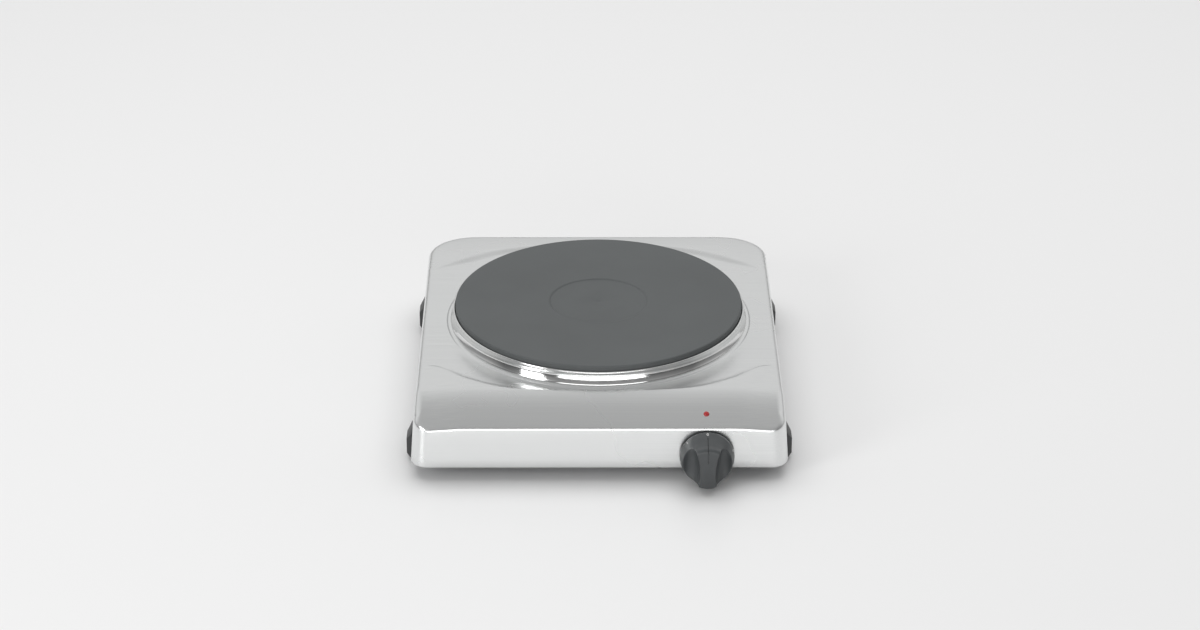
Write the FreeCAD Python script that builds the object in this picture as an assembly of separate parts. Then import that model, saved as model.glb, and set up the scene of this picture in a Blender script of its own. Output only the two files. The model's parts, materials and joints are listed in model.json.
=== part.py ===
import FreeCAD, Part
import math
import os

from FreeCAD import Vector

# Single electric hot plate: pressed steel housing, cast iron plate, energy regulator knob.
# Millimetres. The plate's axis is x = 0, y = 0 while modelling and the table is z = 0.
# Every piece is moved by shift_y when it is written, which centres the whole part on the origin.

# --- plate -------------------------------------------------------------------------------
plate_r = 110.0
plate_top_z = 71.0
plate_edge_chamfer = 1.0
plate_side_h = 4.6
plate_web_t = 9.0
plate_h = 19.5
plate_shoulder = 2.7
plate_skirt_t = 3.3
plate_recess_r = 38.2
plate_recess_d = 0.8
plate_boss_r = 9.0
groove_w = 12.0
groove_count = 3
groove_in = 13.3
groove_pitch = 20.0
rib_t = 2.4
coil_r = 2.5
coil_clear = 0.1
cover_t = 0.8

# --- spill ring --------------------------------------------------------------------------
ring_t = 0.7
ring_bead_out = 1.9
ring_foot_out = 3.9
ring_gap = 0.3

# --- housing -----------------------------------------------------------------------------
housing_gap = 9.7
housing_half_w = 139.0
housing_half_w_top = 135.5
front_y = -154.0
rear_y = 150.0
front_face_h = 31.3
crest_y = -122.0
apron_bulge = 3.6
top_z = 57.5
top_edge = 4.0
corner_r_front = 17.0
corner_r_rear = 32.0
wall = 1.0
flange_w = 24.0
recess_d = 2.0
recess_front_y = -117.6
recess_front_side = (92.0, -104.0)
recess_front_end = (126.0, -80.0)
recess_rear_y = 138.0
recess_rear_end = (126.0, 90.0)
collar_h = 1.5
collar_out = 6.7
mouth_in = 1.4

# --- base plate and feet -----------------------------------------------------------------
base_t = 0.8
base_inset = 4.0
vent_l = 38.0
vent_w = 4.0
vent_pitch = 11.0
vent_rows = 7
vent_x = 62.0
vent_y = 62.0
seat = 0.05
foot_out = 4.0
foot_in = 26.0
foot_bottom_z = 2.0
foot_top_z = 23.0
foot_chamfer = 3.0
front_foot_y = (-125.0, -104.0)
rear_foot_y = (84.0, 105.0)
pad_in = 10.5
pad_r = 7.0
pad_h = 3.0
foot_screw_in = 18.5
foot_screw_r = 1.75
foot_screw_head_r = 3.5
foot_screw_head_h = 2.2
foot_screw_l = 12.0

# --- hold-down ---------------------------------------------------------------------------
stud_r = 3.0
stud_tail = 17.5
bar_t = 2.0
bar_half_w = 11.0
bar_half_l = 119.0
bar_pad_l = 8.0
bar_drop_l = 7.0
bar_below = 8.5
washer_t = 1.2
washer_r = 8.0
nut_af = 10.0
nut_h = 5.0

# --- control -----------------------------------------------------------------------------
knob_x = 78.5
knob_z = 21.2
knob_r = 20.1
knob_nose_r = 15.0
knob_l = 22.0
knob_gap = 2.0
knob_rim_l = 4.5
knob_bar_half = 5.6
scoop_r = 21.0
scoop_tilt = 10.0
scoop_lean = 1.6
knob_cavity_r = 17.0
knob_cavity_in_r = 7.0
knob_cavity_d = 7.0
pointer_w = 0.9
pointer_d = 0.5
shaft_r = 3.0
shaft_run = 0.05
shaft_flat = 0.8
shaft_tip_r = 2.0
shaft_in_knob = 13.0
clip_t = 0.5
clip_w = 4.0
clip_l = 8.0
regulator_w = 34.0
regulator_low = 10.5
regulator_high = 13.0
regulator_d = 33.0
regulator_wall = 1.6
regulator_cover_t = 2.5
bearing_l = 6.0
bearing_r = 5.0
bracket_t = 1.4
bracket_over = 3.0
fixing_half = 14.0
fixing_r = 1.9
fixing_head_r = 3.4
fixing_head_h = 1.4
fixing_l = 6.0
cam_r = 8.0
cam_t = 4.0
cam_back = 14.0
blade_t = 0.5
blade_w = 5.0
tab_w = 6.3
tab_t = 0.8
tab_l = 8.0

# --- pilot lamp --------------------------------------------------------------------------
lamp_x = 78.0
lamp_y = -146.0
lens_r = 2.5
lens_dome = 1.3
lens_flange_r = 4.0
lens_flange_t = 1.2
lamp_tube_r = 3.0
lamp_l = 12.0
lamp_nut_r = 5.0
lamp_nut_t = 2.0
lens_clear = 0.1

# --- rear cable entry --------------------------------------------------------------------
gland_x = -70.0
gland_z = 36.0
gland_r = 9.0
gland_tip_r = 6.6
gland_l = 20.0
gland_neck_r = 7.5
gland_bore_r = 3.7
gland_nut_r = 11.0
gland_nut_t = 4.0
gland_stub = 4.0

# --- wiring hardware ---------------------------------------------------------------------
block_w = 36.0
block_d = 17.0
block_h = 14.0
block_pole = 11.0
block_hole_r = 2.4
block_screw_r = 2.2
block_screw_h = 4.0
block_y = 120.0
ceramic_w = 40.0
ceramic_d = 20.0
ceramic_h = 8.0
ceramic_y = 55.0
cutout_r = 8.0
cutout_h = 6.0
cutout_y = -50.0
earth_x = -30.0
earth_y = 120.0
earth_r = 2.0
earth_l = 14.0
earth_nut_h = 3.2
earth_nut_af = 7.0

# --- derived -----------------------------------------------------------------------------
plate_skirt_r = plate_r - plate_shoulder
groove_rs = [plate_skirt_r - groove_in - groove_pitch * k for k in reversed(range(groove_count))]
ring_bead_r = plate_r + ring_bead_out
ring_foot_r = plate_r + ring_foot_out
collar_r = plate_r + collar_out
mouth_r = plate_r - mouth_in
floor_z = top_z - recess_d
collar_z = floor_z + collar_h
front_top_z = housing_gap + front_face_h
plate_bottom_z = plate_top_z - plate_h
web_z = plate_top_z - plate_web_t
cover_z = plate_bottom_z - cover_t
bar_z = plate_bottom_z - bar_below
stud_bottom_z = plate_bottom_z - stud_tail
knob_back_y = front_y - knob_gap
knob_front_y = knob_back_y - knob_l
gland_end_y = rear_y + gland_l
shift_y = -(knob_front_y + gland_end_y) / 2
inner_front_y = front_y + wall
bracket_back_y = inner_front_y + bracket_t
regulator_back_y = bracket_back_y + regulator_d
base_top_z = housing_gap
base_bottom_z = base_top_z - base_t
inner_top_z = floor_z - wall

os.makedirs("parts", exist_ok=True)


def save(name, shape):
    """Write one node, moved to the part's own frame."""
    moved = shape.copy()
    moved.translate(Vector(0, shift_y, 0))
    moved.exportStep("parts/" + name + ".step")


def group(solids):
    return Part.makeCompound(solids)


def face(points):
    return Part.Face(Part.makePolygon(points + [points[0]]))


def turned(profile):
    """Solid of revolution about Z from a closed list of (r, z)."""
    return face([Vector(r, 0, z) for r, z in profile]).revolve(Vector(0, 0, 0), Vector(0, 0, 1), 360)


def box(x0, x1, y0, y1, z0, z1):
    return Part.makeBox(x1 - x0, y1 - y0, z1 - z0, Vector(x0, y0, z0))


def rod(r, x, y, z0, z1):
    return Part.makeCylinder(r, z1 - z0, Vector(x, y, z0))


def rod_y(r, x, z, y0, y1):
    return Part.makeCylinder(r, y1 - y0, Vector(x, y0, z), Vector(0, 1, 0))


def hexagon(af, x, y, z0, z1):
    points = []
    for k in range(6):
        a = math.radians(60 * k)
        points.append(Vector(x + af / math.sqrt(3) * math.cos(a), y + af / math.sqrt(3) * math.sin(a), z0))
    return face(points).extrude(Vector(0, 0, z1 - z0))


def outline(half_w, y0, y1, r0, r1, z):
    """Closed plan outline with small front corners and large rear corners."""
    d = math.sqrt(0.5)
    edges = []

    def line(ax, ay, bx, by):
        edges.append(Part.LineSegment(Vector(ax, ay, z), Vector(bx, by, z)).toShape())

    def corner(cx, cy, r, sx, sy, first):
        a = Vector(cx, cy + sy * r, z)
        b = Vector(cx + sx * r, cy, z)
        m = Vector(cx + sx * r * d, cy + sy * r * d, z)
        ends = (a, b) if first else (b, a)
        edges.append(Part.Arc(ends[0], m, ends[1]).toShape())

    line(-half_w + r0, y0, half_w - r0, y0)
    corner(half_w - r0, y0 + r0, r0, 1, -1, True)
    line(half_w, y0 + r0, half_w, y1 - r1)
    corner(half_w - r1, y1 - r1, r1, 1, 1, False)
    line(half_w - r1, y1, -half_w + r1, y1)
    corner(-half_w + r1, y1 - r1, r1, -1, 1, True)
    line(-half_w, y1 - r1, -half_w, y0 + r0)
    corner(-half_w + r0, y0 + r0, r0, -1, -1, False)
    return Part.Wire(edges)


def half_width(z):
    """Half width of the drafted side walls at height z."""
    share = (z - housing_gap) / (top_z - housing_gap)
    return housing_half_w + (housing_half_w_top - housing_half_w) * share


def apron_points(inset):
    """Three points of the convex front apron, seen from the side."""
    low = Vector(0, front_y + inset, front_top_z)
    high = Vector(0, crest_y, top_z - inset)
    run = high - low
    out = Vector(0, -run.z, run.y).normalize()
    return low, (low + high) * 0.5 + out * apron_bulge, high


def body(inset, bottom):
    """Outer form of the housing, or its inside when inset is the wall."""
    low, middle, high = apron_points(inset)
    back = rear_y - inset
    corners = [
        Vector(0, back - top_edge, top_z - inset),
        Vector(0, back, top_z - inset - top_edge),
        Vector(0, back, bottom),
        Vector(0, front_y + inset, bottom),
    ]
    edges = [Part.Arc(low, middle, high).toShape()]
    chain = [high] + corners + [low]
    for a, b in zip(chain, chain[1:]):
        edges.append(Part.LineSegment(a, b).toShape())
    side = Part.Face(Part.Wire(edges))
    reach = housing_half_w + foot_out
    side.translate(Vector(-reach, 0, 0))
    bar = side.extrude(Vector(2 * reach, 0, 0))
    shoulder = top_z - inset - top_edge

    def ring(z, extra):
        half = half_width(z) - inset - extra
        r0 = corner_r_front - inset - extra
        r1 = corner_r_rear - inset - extra
        return outline(half, front_y + inset, rear_y - inset, r0, r1, z)

    tub = Part.makeLoft([ring(bottom, 0), ring(shoulder, 0)], True, True)
    cap = Part.makeLoft([ring(shoulder, 0), ring(top_z - inset, top_edge * 0.7)], True, True)
    return tub.fuse(cap).common(bar)


def recess(grow):
    """Shallow pressed field around the plate, open to both sides."""
    sx, sy = recess_front_side
    ex, ey = recess_front_end
    rx, ry = recess_rear_end
    side = housing_half_w + foot_out
    z = floor_z - grow
    front = recess_front_y - grow
    rear = recess_rear_y + grow
    edges = [
        Part.Arc(Vector(-sx, sy - grow, z), Vector(0, front, z), Vector(sx, sy - grow, z)).toShape(),
        Part.LineSegment(Vector(sx, sy - grow, z), Vector(ex, ey - grow, z)).toShape(),
        Part.LineSegment(Vector(ex, ey - grow, z), Vector(side, ey - grow, z)).toShape(),
        Part.LineSegment(Vector(side, ey - grow, z), Vector(side, ry + grow, z)).toShape(),
        Part.LineSegment(Vector(side, ry + grow, z), Vector(rx, ry + grow, z)).toShape(),
        Part.Arc(Vector(rx, ry + grow, z), Vector(0, rear, z), Vector(-rx, ry + grow, z)).toShape(),
        Part.LineSegment(Vector(-rx, ry + grow, z), Vector(-side, ry + grow, z)).toShape(),
        Part.LineSegment(Vector(-side, ry + grow, z), Vector(-side, ey - grow, z)).toShape(),
        Part.LineSegment(Vector(-side, ey - grow, z), Vector(-ex, ey - grow, z)).toShape(),
        Part.LineSegment(Vector(-ex, ey - grow, z), Vector(-sx, sy - grow, z)).toShape(),
    ]
    return Part.Face(Part.Wire(edges)).extrude(Vector(0, 0, recess_d + grow + 2))


def lamp_frame():
    """Centre and outward direction of the pilot lamp on the apron."""
    low, middle, high = apron_points(0)
    circle = Part.Arc(low, middle, high).toShape().Curve
    centre = circle.Center
    z = centre.z + math.sqrt(circle.Radius ** 2 - (lamp_y - centre.y) ** 2)
    out = (Vector(0, lamp_y, z) - centre).normalize()
    return Vector(lamp_x, lamp_y, z), out


def along(place, out, r, near, far):
    """Round bar on the lamp's axis, near and far measured outwards from the sheet."""
    return Part.makeCylinder(r, far - near, place + out * near, out)


def make_housing():
    shell = body(0, housing_gap).cut(recess(0))
    shell = shell.fuse(rod(collar_r, 0, 0, floor_z - wall / 2, collar_z))
    shell = shell.cut(body(wall, housing_gap - 1).cut(recess(wall)))
    rim = Part.Face(outline(housing_half_w, front_y, rear_y, corner_r_front, corner_r_rear, housing_gap))
    inner = Part.Face(outline(housing_half_w - flange_w, front_y + flange_w, rear_y - flange_w,
                              corner_r_front, corner_r_front, housing_gap))
    flange = rim.cut(inner).extrude(Vector(0, 0, wall))
    shell = shell.fuse(flange.common(body(0, housing_gap)))
    shell = shell.cut(rod(mouth_r, 0, 0, inner_top_z - 2, collar_z + 1))
    shell = shell.cut(rod_y(shaft_r + 1.5, knob_x, knob_z, front_y - 1, inner_front_y + 1))
    for side in (-1, 1):
        x = knob_x + side * fixing_half
        shell = shell.cut(rod_y(fixing_r + 0.1, x, knob_z, front_y - 1, inner_front_y + 1))
    shell = shell.cut(rod_y(gland_neck_r + 0.1, gland_x, gland_z, rear_y - wall - 1, rear_y + 1))
    place, out = lamp_frame()
    shell = shell.cut(along(place, out, lens_r + lens_clear, -3, 3))
    for x, y in foot_screw_places():
        shell = shell.cut(rod(foot_screw_r + 0.1, x, y, housing_gap - 1, housing_gap + wall + 1))
    return shell.removeSplitter()


def foot_spans():
    """Side and y range of each foot."""
    spans = []
    for side, word in ((-1, "left"), (1, "right")):
        spans.append(("foot_front_" + word, side, front_foot_y))
        spans.append(("foot_rear_" + word, side, rear_foot_y))
    return spans


def foot_screw_places():
    places = []
    for _, side, (y0, y1) in foot_spans():
        places.append((side * (housing_half_w - foot_screw_in), (y0 + y1) / 2))
    return places


def pad_places():
    places = []
    for _, side, (y0, y1) in foot_spans():
        places.append((side * (housing_half_w + foot_out - pad_in), (y0 + y1) / 2))
    return places


def make_foot(side, y0, y1):
    """Moulded corner foot: it hugs the side wall and turns in under the base plate."""
    out = housing_half_w + foot_out
    inner = out - foot_in - foot_out
    base_edge = housing_half_w - base_inset
    section = [
        (inner, foot_bottom_z), (out - foot_chamfer, foot_bottom_z), (out, foot_bottom_z + foot_chamfer),
        (out, foot_top_z - foot_chamfer * 2), (half_width(foot_top_z) + 0.8, foot_top_z),
        (half_width(foot_top_z) + seat, foot_top_z), (housing_half_w + seat, housing_gap - seat),
        (base_edge + seat, housing_gap - seat), (base_edge + seat, base_bottom_z - seat),
        (inner, base_bottom_z - seat),
    ]
    solid = face([Vector(x, y0, z) for x, z in section]).extrude(Vector(0, y1 - y0, 0))
    top = foot_top_z + 1
    plan = [
        (inner - 1, y0), (out - foot_out + 0.6, y0), (out, y0 + foot_chamfer), (out, y1 - 2 * foot_chamfer),
        (out - foot_out + 0.6, y1), (inner - 1, y1),
    ]
    solid = solid.common(face([Vector(x, y, 0) for x, y in plan]).extrude(Vector(0, 0, top)))
    pad_x = out - pad_in
    middle = (y0 + y1) / 2
    solid = solid.cut(rod(pad_r + seat, pad_x, middle, 0, pad_h + seat))
    screw_x = housing_half_w - foot_screw_in
    solid = solid.cut(rod(foot_screw_r + 0.1, screw_x, middle, 0, housing_gap))
    solid = solid.cut(rod(foot_screw_head_r + 0.2, screw_x, middle, 0, foot_bottom_z + foot_screw_head_h + 1))
    if side < 0:
        solid = solid.mirror(Vector(0, 0, 0), Vector(1, 0, 0))
    return solid


def make_foot_pads():
    return group([rod(pad_r, x, y, 0, pad_h) for x, y in pad_places()])


def make_foot_screws():
    head_z = foot_bottom_z + foot_screw_head_h + 1
    screws = []
    for x, y in foot_screw_places():
        head = rod(foot_screw_head_r, x, y, head_z - foot_screw_head_h, head_z - seat)
        screws.append(head.fuse(rod(foot_screw_r, x, y, head_z - seat, head_z + foot_screw_l)))
    return group(screws)


def make_base_plate():
    sheet = Part.Face(outline(housing_half_w - base_inset, front_y + base_inset, rear_y - base_inset,
                              corner_r_front - base_inset, corner_r_rear - base_inset, base_bottom_z))
    plate = sheet.extrude(Vector(0, 0, base_t))
    cuts = []
    for sx in (-1, 1):
        for sy in (-1, 1):
            for k in range(vent_rows):
                y = sy * vent_y + (k - (vent_rows - 1) / 2) * vent_pitch
                x = sx * vent_x
                slot = box(x - vent_l / 2, x + vent_l / 2, y - vent_w / 2, y + vent_w / 2,
                           base_bottom_z - 1, base_top_z + 1)
                cuts.append(slot)
                for end in (-1, 1):
                    cuts.append(rod(vent_w / 2, x + end * vent_l / 2, y, base_bottom_z - 1, base_top_z + 1))
    for x, y in foot_screw_places():
        cuts.append(rod(foot_screw_r + 0.1, x, y, base_bottom_z - 1, base_top_z + 1))
    cuts.append(rod(earth_r + 0.1, earth_x, earth_y, base_bottom_z - 1, base_top_z + 1))
    return plate.cut(group(cuts))


def make_cast_plate():
    top = plate_top_z
    low = plate_bottom_z
    inner = plate_skirt_r - plate_skirt_t
    profile = [
        (0, top - plate_recess_d), (plate_recess_r - plate_recess_d, top - plate_recess_d),
        (plate_recess_r, top), (plate_r - plate_edge_chamfer, top), (plate_r, top - plate_edge_chamfer),
        (plate_r, top - plate_side_h), (plate_skirt_r, top - plate_side_h - 1.5), (plate_skirt_r, low),
        (inner, low), (inner, web_z),
    ]
    for r in reversed(groove_rs):
        outer = r + groove_w / 2
        if outer + rib_t < inner - 0.5:
            profile += [(outer + rib_t, web_z), (outer + rib_t, low)]
            profile += [(outer, low), (outer, web_z)]
        profile += [(r - groove_w / 2, web_z), (r - groove_w / 2, low)]
        profile += [(r - groove_w / 2 - rib_t, low), (r - groove_w / 2 - rib_t, web_z)]
    profile += [(plate_boss_r, web_z), (plate_boss_r, low), (0, low)]
    solid = turned(profile)
    return solid.cut(rod(stud_r + seat, 0, 0, low - 1, web_z + 2))


def groove_edges(r):
    """Inner and outer radius of the filled groove around mean radius r."""
    outer = r + groove_w / 2
    skirt = plate_skirt_r - plate_skirt_t
    if outer + rib_t >= skirt - 0.5:
        outer = skirt
    return r - groove_w / 2, outer


def coil_z():
    return (web_z + plate_bottom_z) / 2


def make_coils():
    return group([Part.makeTorus(r, coil_r, Vector(0, 0, coil_z())) for r in groove_rs])


def make_compound():
    rings = []
    for r in groove_rs:
        inner, outer = groove_edges(r)
        ring = rod(outer - seat, 0, 0, plate_bottom_z + seat, web_z - seat)
        ring = ring.cut(rod(inner + seat, 0, 0, plate_bottom_z - 1, web_z + 1))
        rings.append(ring.cut(Part.makeTorus(r, coil_r + coil_clear, Vector(0, 0, coil_z()))))
    return group(rings)


def make_plate_cover():
    disc = rod(plate_skirt_r - 0.5, 0, 0, cover_z, plate_bottom_z - seat)
    disc = disc.cut(rod(stud_r + 0.4, 0, 0, cover_z - 1, plate_bottom_z + 1))
    for k in range(4):
        x = (k - 1.5) * ceramic_w / 4
        disc = disc.cut(rod(1.6, x, ceramic_y, cover_z - 1, plate_bottom_z + 1))
    return disc


def make_ring():
    """Stainless spill ring: hangs on the plate's shoulder and spreads onto the housing's collar."""
    skirt = plate_skirt_r + ring_gap
    bead_z = plate_top_z - plate_side_h + 0.6
    foot_z = collar_z + seat
    side = plate_r + ring_gap
    outer = [
        (side, bead_z - 0.9), (side + 0.5, bead_z), (ring_bead_r - 0.5, bead_z), (ring_bead_r, bead_z - 0.8),
        (ring_bead_r - 0.4, bead_z - 2.4), (ring_foot_r - 1.6, foot_z + 2.2), (ring_foot_r, foot_z + 0.5),
        (ring_foot_r, foot_z), (ring_foot_r - ring_t - 1.4, foot_z), (ring_foot_r - 1.6 - ring_t, foot_z + 1.6),
        (ring_bead_r - 0.4 - ring_t, bead_z - 2.6),
    ]
    inner = [
        (side + 0.9, bead_z - 3.3), (skirt + ring_t, bead_z - 4.9), (skirt + ring_t, foot_z - 2.5),
        (skirt, foot_z - 2.5), (skirt, bead_z - 4.4), (side + 0.2, bead_z - 3.3), (side, bead_z - 2.4),
    ]
    return turned(outer + inner)


def make_bar():
    """Hold-down bar: both ends press up under the housing top, the stud pulls its middle down."""
    top = inner_top_z - seat
    half = bar_half_l
    upper = [
        (half, top), (half - bar_pad_l, top), (half - bar_pad_l - bar_drop_l, bar_z + bar_t),
    ]
    lower = [
        (half - bar_pad_l - bar_drop_l - 1, bar_z), (half - bar_pad_l + 1, top - bar_t), (half, top - bar_t),
    ]
    points = upper + [(-x, z) for x, z in reversed(upper)]
    points += [(-x, z) for x, z in reversed(lower)] + lower
    strip = face([Vector(x, -bar_half_w, z) for x, z in points]).extrude(Vector(0, 2 * bar_half_w, 0))
    return strip.cut(rod(stud_r + 0.3, 0, 0, bar_z - 1, bar_z + bar_t + 1))


def make_stud():
    return rod(stud_r, 0, 0, stud_bottom_z, web_z + 1.5)


def make_spacer():
    tube = rod(plate_boss_r, 0, 0, bar_z + bar_t + seat, cover_z - seat)
    return tube.cut(rod(stud_r + 0.3, 0, 0, bar_z, cover_z))


def make_washer():
    disc = rod(washer_r, 0, 0, bar_z - washer_t, bar_z - seat)
    return disc.cut(rod(stud_r + 0.3, 0, 0, bar_z - washer_t - 1, bar_z))


def make_nut():
    top = bar_z - washer_t - seat
    return hexagon(nut_af, 0, 0, top - nut_h, top).cut(rod(stud_r + seat, 0, 0, top - nut_h - 1, top + 1))


def make_ceramic():
    top = cover_z - seat
    y0 = ceramic_y - ceramic_d / 2
    block = box(-ceramic_w / 2, ceramic_w / 2, y0, y0 + ceramic_d, top - ceramic_h, top)
    for k in range(4):
        x = (k - 1.5) * ceramic_w / 4
        block = block.cut(rod(1.3, x, ceramic_y, top - ceramic_h - 1, top + 1))
    return block


def make_plate_pins():
    pins = []
    top = cover_z - seat
    for k in range(4):
        x = (k - 1.5) * ceramic_w / 4
        stem = rod(1.2, x, ceramic_y, top - ceramic_h - 1, top + 0.5)
        blade = box(x - tab_w / 2, x + tab_w / 2, ceramic_y - tab_t / 2, ceramic_y + tab_t / 2,
                    top - ceramic_h - 1 - tab_l, top - ceramic_h - 0.2)
        pins.append(stem.fuse(blade))
    return group(pins)


def make_cutout():
    top = cover_z - seat
    can = rod(cutout_r, 0, cutout_y, top - cutout_h, top)
    for side in (-1, 1):
        x = side * 4.5
        can = can.fuse(box(x - tab_t / 2, x + tab_t / 2, cutout_y - tab_w / 2, cutout_y + tab_w / 2,
                           top - cutout_h - tab_l, top - cutout_h + 1))
    return can


def regulator_box(inset, y0, y1):
    half = regulator_w / 2 - inset
    low = knob_z - regulator_low + inset
    return box(knob_x - half, knob_x + half, y0, y1, low, knob_z + regulator_high - inset)


def make_regulator_case():
    case = regulator_box(0, bracket_back_y + seat, regulator_back_y)
    case = case.cut(regulator_box(regulator_wall, bracket_back_y + regulator_wall, regulator_back_y + 1))
    for side in (-1, 1):
        x = knob_x + side * fixing_half
        boss = rod_y(fixing_r + 1.4, x, knob_z, bracket_back_y + seat, bracket_back_y + fixing_l)
        case = case.fuse(boss.common(regulator_box(0, bracket_back_y + seat, regulator_back_y)))
    for side in (-1, 1):
        x = knob_x + side * fixing_half
        case = case.cut(rod_y(fixing_r - 0.2 + seat, x, knob_z, front_y, bracket_back_y + fixing_l - 0.5))
    bearing = rod_y(shaft_r + shaft_run, knob_x, knob_z, front_y, bracket_back_y + regulator_wall + 1)
    return case.cut(bearing)


def make_regulator_cover():
    y0 = regulator_back_y + seat
    cover = regulator_box(0, y0, y0 + regulator_cover_t)
    cover = cover.fuse(rod_y(bearing_r, knob_x, knob_z, y0 - bearing_l, y0 + 0.5))
    cover = cover.cut(rod_y(shaft_tip_r + shaft_run, knob_x, knob_z, y0 - bearing_l - 1, y0 + 0.4))
    for k in range(4):
        x = knob_x + (k - 1.5) * 8
        z = knob_z + regulator_high - 5
        cover = cover.cut(box(x - tab_t / 2 - seat, x + tab_t / 2 + seat, y0 - 1, y0 + regulator_cover_t + 1,
                              z - tab_w / 2 - seat, z + tab_w / 2 + seat))
    return cover


def make_regulator_tabs():
    tabs = []
    y0 = regulator_back_y + seat
    for k in range(4):
        x = knob_x + (k - 1.5) * 8
        z = knob_z + regulator_high - 5
        tabs.append(box(x - tab_t / 2, x + tab_t / 2, y0 - 5, y0 + regulator_cover_t + tab_l,
                        z - tab_w / 2, z + tab_w / 2))
    return group(tabs)


def make_regulator_bracket():
    half = regulator_w / 2 + bracket_over
    plate = box(knob_x - half, knob_x + half, inner_front_y + seat, bracket_back_y,
                knob_z - regulator_low, knob_z + regulator_high)
    plate = plate.cut(rod_y(shaft_r + 0.5, knob_x, knob_z, front_y, bracket_back_y + 1))
    for side in (-1, 1):
        x = knob_x + side * fixing_half
        plate = plate.cut(rod_y(fixing_r + 0.1, x, knob_z, front_y, bracket_back_y + 1))
    return plate


def make_regulator_screws():
    screws = []
    for side in (-1, 1):
        x = knob_x + side * fixing_half
        head = rod_y(fixing_head_r, x, knob_z, front_y - seat - fixing_head_h, front_y - seat)
        shank = rod_y(fixing_r - 0.2, x, knob_z, front_y - seat, bracket_back_y + fixing_l - 1)
        screws.append(head.fuse(shank))
    return group(screws)


def make_contact_blade():
    """Fixed spring contact that the cam lifts, held in the regulator's side wall."""
    y0 = bracket_back_y + cam_back
    x0 = knob_x - regulator_w / 2 + regulator_wall + seat
    x1 = knob_x + regulator_w / 2 - regulator_wall - seat
    z = knob_z + cam_r + 0.6
    return box(x0, x1, y0, y0 + blade_w, z, z + blade_t)


def make_shaft():
    tip_y = regulator_back_y + seat - bearing_l - 0.2
    shaft = rod_y(shaft_r, knob_x, knob_z, knob_back_y - shaft_in_knob, tip_y)
    shaft = shaft.fuse(rod_y(shaft_tip_r, knob_x, knob_z, tip_y - 0.5, regulator_back_y - 0.2))
    flat = box(knob_x - shaft_r, knob_x + shaft_r, knob_back_y - shaft_in_knob - 1, knob_back_y,
               knob_z - shaft_r - 1, knob_z - shaft_r + shaft_flat)
    return shaft.cut(flat)


def make_cam():
    y0 = bracket_back_y + cam_back
    cam = rod_y(cam_r, knob_x, knob_z, y0, y0 + cam_t)
    notch = rod_y(cam_r * 0.45, knob_x, knob_z + cam_r * 1.15, y0 - 1, y0 + cam_t + 1)
    return cam.cut(notch).cut(rod_y(shaft_r + seat, knob_x, knob_z, y0 - 1, y0 + cam_t + 1))


def make_knob():
    """Round grip with a finger scoop on each side, turned about its own axis first."""
    back = 0
    profile = [
        (0, back), (knob_r - 1.2, back), (knob_r, back + 1.2), (knob_r, back + 2.4),
        (knob_r - 1.3, back + knob_rim_l + 3), (knob_nose_r + 1.8, back + knob_l - 3.6),
        (knob_nose_r, back + knob_l - 1.2), (knob_nose_r - 2, back + knob_l), (0, back + knob_l),
    ]
    solid = turned(profile)
    for side in (-1, 1):
        cutter = Part.makeCylinder(scoop_r, knob_l * 2, Vector(0, 0, 0))
        cutter.rotate(Vector(0, 0, 0), Vector(0, 1, 0), -side * scoop_tilt)
        lift = scoop_r * math.sin(math.radians(scoop_tilt))
        cutter.translate(Vector(side * (scoop_r + knob_bar_half + scoop_lean), 0, knob_rim_l + lift))
        solid = solid.cut(cutter)
    cavity = rod(knob_cavity_r, 0, 0, -1, knob_rim_l - 1.5).cut(rod(knob_cavity_in_r, 0, 0, -2, knob_l))
    solid = solid.cut(cavity)
    bore = rod(shaft_r + seat, 0, 0, -1, shaft_in_knob + 0.3)
    land = box(-shaft_r - 1, shaft_r + 1, -shaft_r - 1, -shaft_r + shaft_flat - clip_t - seat, -2, knob_l)
    solid = solid.cut(bore.cut(land))
    clip_low = -shaft_r + shaft_flat - clip_t - seat
    solid = solid.cut(box(-clip_w / 2 - seat, clip_w / 2 + seat, clip_low, 0, 2 - seat, clip_l + 2 + seat))
    solid = solid.cut(box(-pointer_w / 2, pointer_w / 2, 0, knob_r + 1, knob_l - pointer_d, knob_l + 1))
    solid.rotate(Vector(0, 0, 0), Vector(1, 0, 0), 90)
    solid.translate(Vector(knob_x, knob_back_y, knob_z))
    return solid


def make_knob_clip():
    z1 = knob_z - shaft_r + shaft_flat - seat / 2
    return box(knob_x - clip_w / 2, knob_x + clip_w / 2, knob_back_y - clip_l - 2, knob_back_y - 2,
               z1 - clip_t + seat / 2, z1)


def make_lens():
    place, out = lamp_frame()
    stem = along(place, out, lens_r, -wall - lens_clear, 0.2)
    dome_r = (lens_r ** 2 + lens_dome ** 2) / (2 * lens_dome)
    dome = Part.makeSphere(dome_r, place + out * (0.2 + lens_dome - dome_r))
    dome = dome.common(along(place, out, lens_r, 0, 0.2 + lens_dome + 1))
    flange = along(place, out, lens_flange_r, -wall - lens_clear - lens_flange_t, -wall - lens_clear)
    return stem.fuse(dome).fuse(flange)


def make_lamp():
    place, out = lamp_frame()
    near = -wall - lens_clear - lens_flange_t - seat
    return along(place, out, lamp_tube_r, near - lamp_l, near)


def make_lamp_nut():
    place, out = lamp_frame()
    near = -wall - lens_clear - lens_flange_t - seat
    ring = along(place, out, lamp_nut_r, near - lamp_nut_t, near)
    return ring.cut(along(place, out, lamp_tube_r + seat, near - lamp_nut_t - 1, near + 1))


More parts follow.
